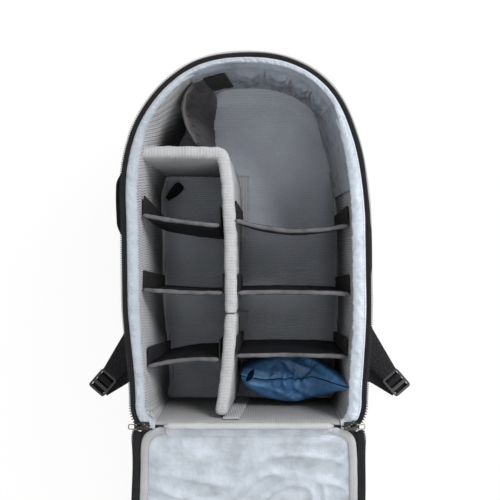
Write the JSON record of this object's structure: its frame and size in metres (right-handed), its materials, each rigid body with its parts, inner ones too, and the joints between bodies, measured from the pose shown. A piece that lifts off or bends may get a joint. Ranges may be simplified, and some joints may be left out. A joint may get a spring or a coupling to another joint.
{
  "type": "camera backpack",
  "caption": "Padded camera backpack lying open on its back, with a zip-round front flap, adjustable dividers, shoulder straps and carry handles.",
  "frame": {"origin": "middle of the back pad's face, where the bag lies on the floor", "axes": "+Y to the top of the bag, +Z out of its open front, +X to its right seen from the front"},
  "size_m": [0.4916, 0.9256, 0.19],
  "materials": {
    "black_nylon": "woven nylon, matt",
    "black_padding": "padded mesh cloth, matt",
    "black_divider": "brushed nylon over foam, matt",
    "webbing": "ribbed webbing, matt",
    "grey_loop": "brushed loop cloth",
    "pale_loop": "ribbed loop cloth",
    "satin": "satin nylon, soft sheen",
    "zipper_tape": "woven tape",
    "zipper_teeth": "moulded coil",
    "gun_metal": "dark plated metal",
    "buckle_plastic": "moulded acetal, satin",
    "cover_blue": "coated crinkled nylon",
    "taupe_nylon": "nylon over foam, slight sheen",
    "foam_board": "foam-covered board"
  },
  "bodies": {
    "body": {"back_board": "black_nylon", "back_piping": "black_nylon", "floor_pad": "grey_loop", "back_pad": "black_padding", "lumbar_pad": "black_padding", "wall_pad_left": "grey_loop", "wall_pad_right": "grey_loop", "wall_pad_top": "grey_loop", "wall_pad_bottom": "grey_loop", "rim_lining": "satin", "outer_gusset": "black_nylon", "outer_base": "black_nylon", "zipper_tape": "zipper_tape", "zipper_teeth": "zipper_teeth", "slider_left": "gun_metal", "slider_right": "gun_metal", "hinge_roll": "pale_loop", "centre_divider_upper": "pale_loop", "centre_divider_lower": "pale_loop", "centre_divider_arm": "pale_loop", "floor_tab_upper": "grey_loop", "floor_tab_lower": "grey_loop", "wall_tab": "grey_loop", "floor_loop": "black_divider", "harness_yoke": "black_nylon", "shoulder_strap_left": "black_padding", "shoulder_strap_right": "black_padding", "webbing_left": "webbing", "webbing_right": "webbing", "webbing_anchor_left": "black_nylon", "webbing_anchor_right": "black_nylon", "ladder_lock_left": "buckle_plastic", "ladder_lock_right": "buckle_plastic", "top_handle": "webbing", "side_handle_left": "webbing", "side_handle_right": "webbing"},
    "flap": {"flap_shell": "black_nylon", "flap_board": "foam_board", "flap_lining": "satin", "flap_border": "pale_loop", "flap_zipper_tape": "zipper_tape", "flap_zipper_teeth": "zipper_teeth", "flap_hinge_tape": "black_nylon"},
    "pull_left": {"pull_left": "gun_metal"},
    "pull_right": {"pull_right": "gun_metal"},
    "left_divider_upper": {"left_divider_upper": "black_divider"},
    "left_divider_middle": {"left_divider_middle": "black_divider"},
    "left_divider_lower": {"left_divider_lower": "black_divider"},
    "right_divider_upper": {"right_divider_upper": "black_divider"},
    "right_divider_middle": {"right_divider_middle": "black_divider"},
    "right_divider_lower": {"right_divider_lower": "black_divider"},
    "curved_divider": {"curved_divider": "taupe_nylon"},
    "rain_cover_pouch": {"rain_cover_pouch": "cover_blue"}
  },
  "joints": [
    {"name": "flap_hinge", "type": "hinge", "parent": "body", "child": "flap", "pos_m": [0, -0.2295, 0.1848], "axis": [1, 0, 0], "range_deg": [-201.7, 0]},
    {"name": "pull_left_swing", "type": "hinge", "parent": "body", "child": "pull_left", "pos_m": [-0.1366, -0.2295, 0.1874], "axis": [0, 1, 0], "range_deg": [0, 150]},
    {"name": "pull_right_swing", "type": "hinge", "parent": "body", "child": "pull_right", "pos_m": [0.1366, -0.2295, 0.1874], "axis": [0, -1, 0], "range_deg": [0, 150]},
    {"name": "left_divider_upper_slide", "type": "slide", "parent": "body", "child": "left_divider_upper", "axis": [0, 1, 0], "range_m": [-0.025, 0.02]},
    {"name": "left_divider_middle_slide", "type": "slide", "parent": "body", "child": "left_divider_middle", "axis": [0, 1, 0], "range_m": [-0.02, 0.025]},
    {"name": "left_divider_lower_slide", "type": "slide", "parent": "body", "child": "left_divider_lower", "axis": [0, 1, 0], "range_m": [0, 0.025]},
    {"name": "right_divider_upper_slide", "type": "slide", "parent": "body", "child": "right_divider_upper", "axis": [0, 1, 0], "range_m": [-0.025, 0.02]},
    {"name": "right_divider_middle_slide", "type": "slide", "parent": "body", "child": "right_divider_middle", "axis": [0, 1, 0], "range_m": [-0.018, 0.025]},
    {"name": "right_divider_lower_slide", "type": "slide", "parent": "body", "child": "right_divider_lower", "axis": [0, 1, 0], "range_m": [0, 0.015]},
    {"name": "curved_divider_lift", "type": "slide", "parent": "body", "child": "curved_divider", "axis": [0, 0, 1], "range_m": [0, 0.16]},
    {"name": "pouch_lift", "type": "slide", "parent": "body", "child": "rain_cover_pouch", "axis": [0, 0, 1], "range_m": [0, 0.16]}
  ]
}
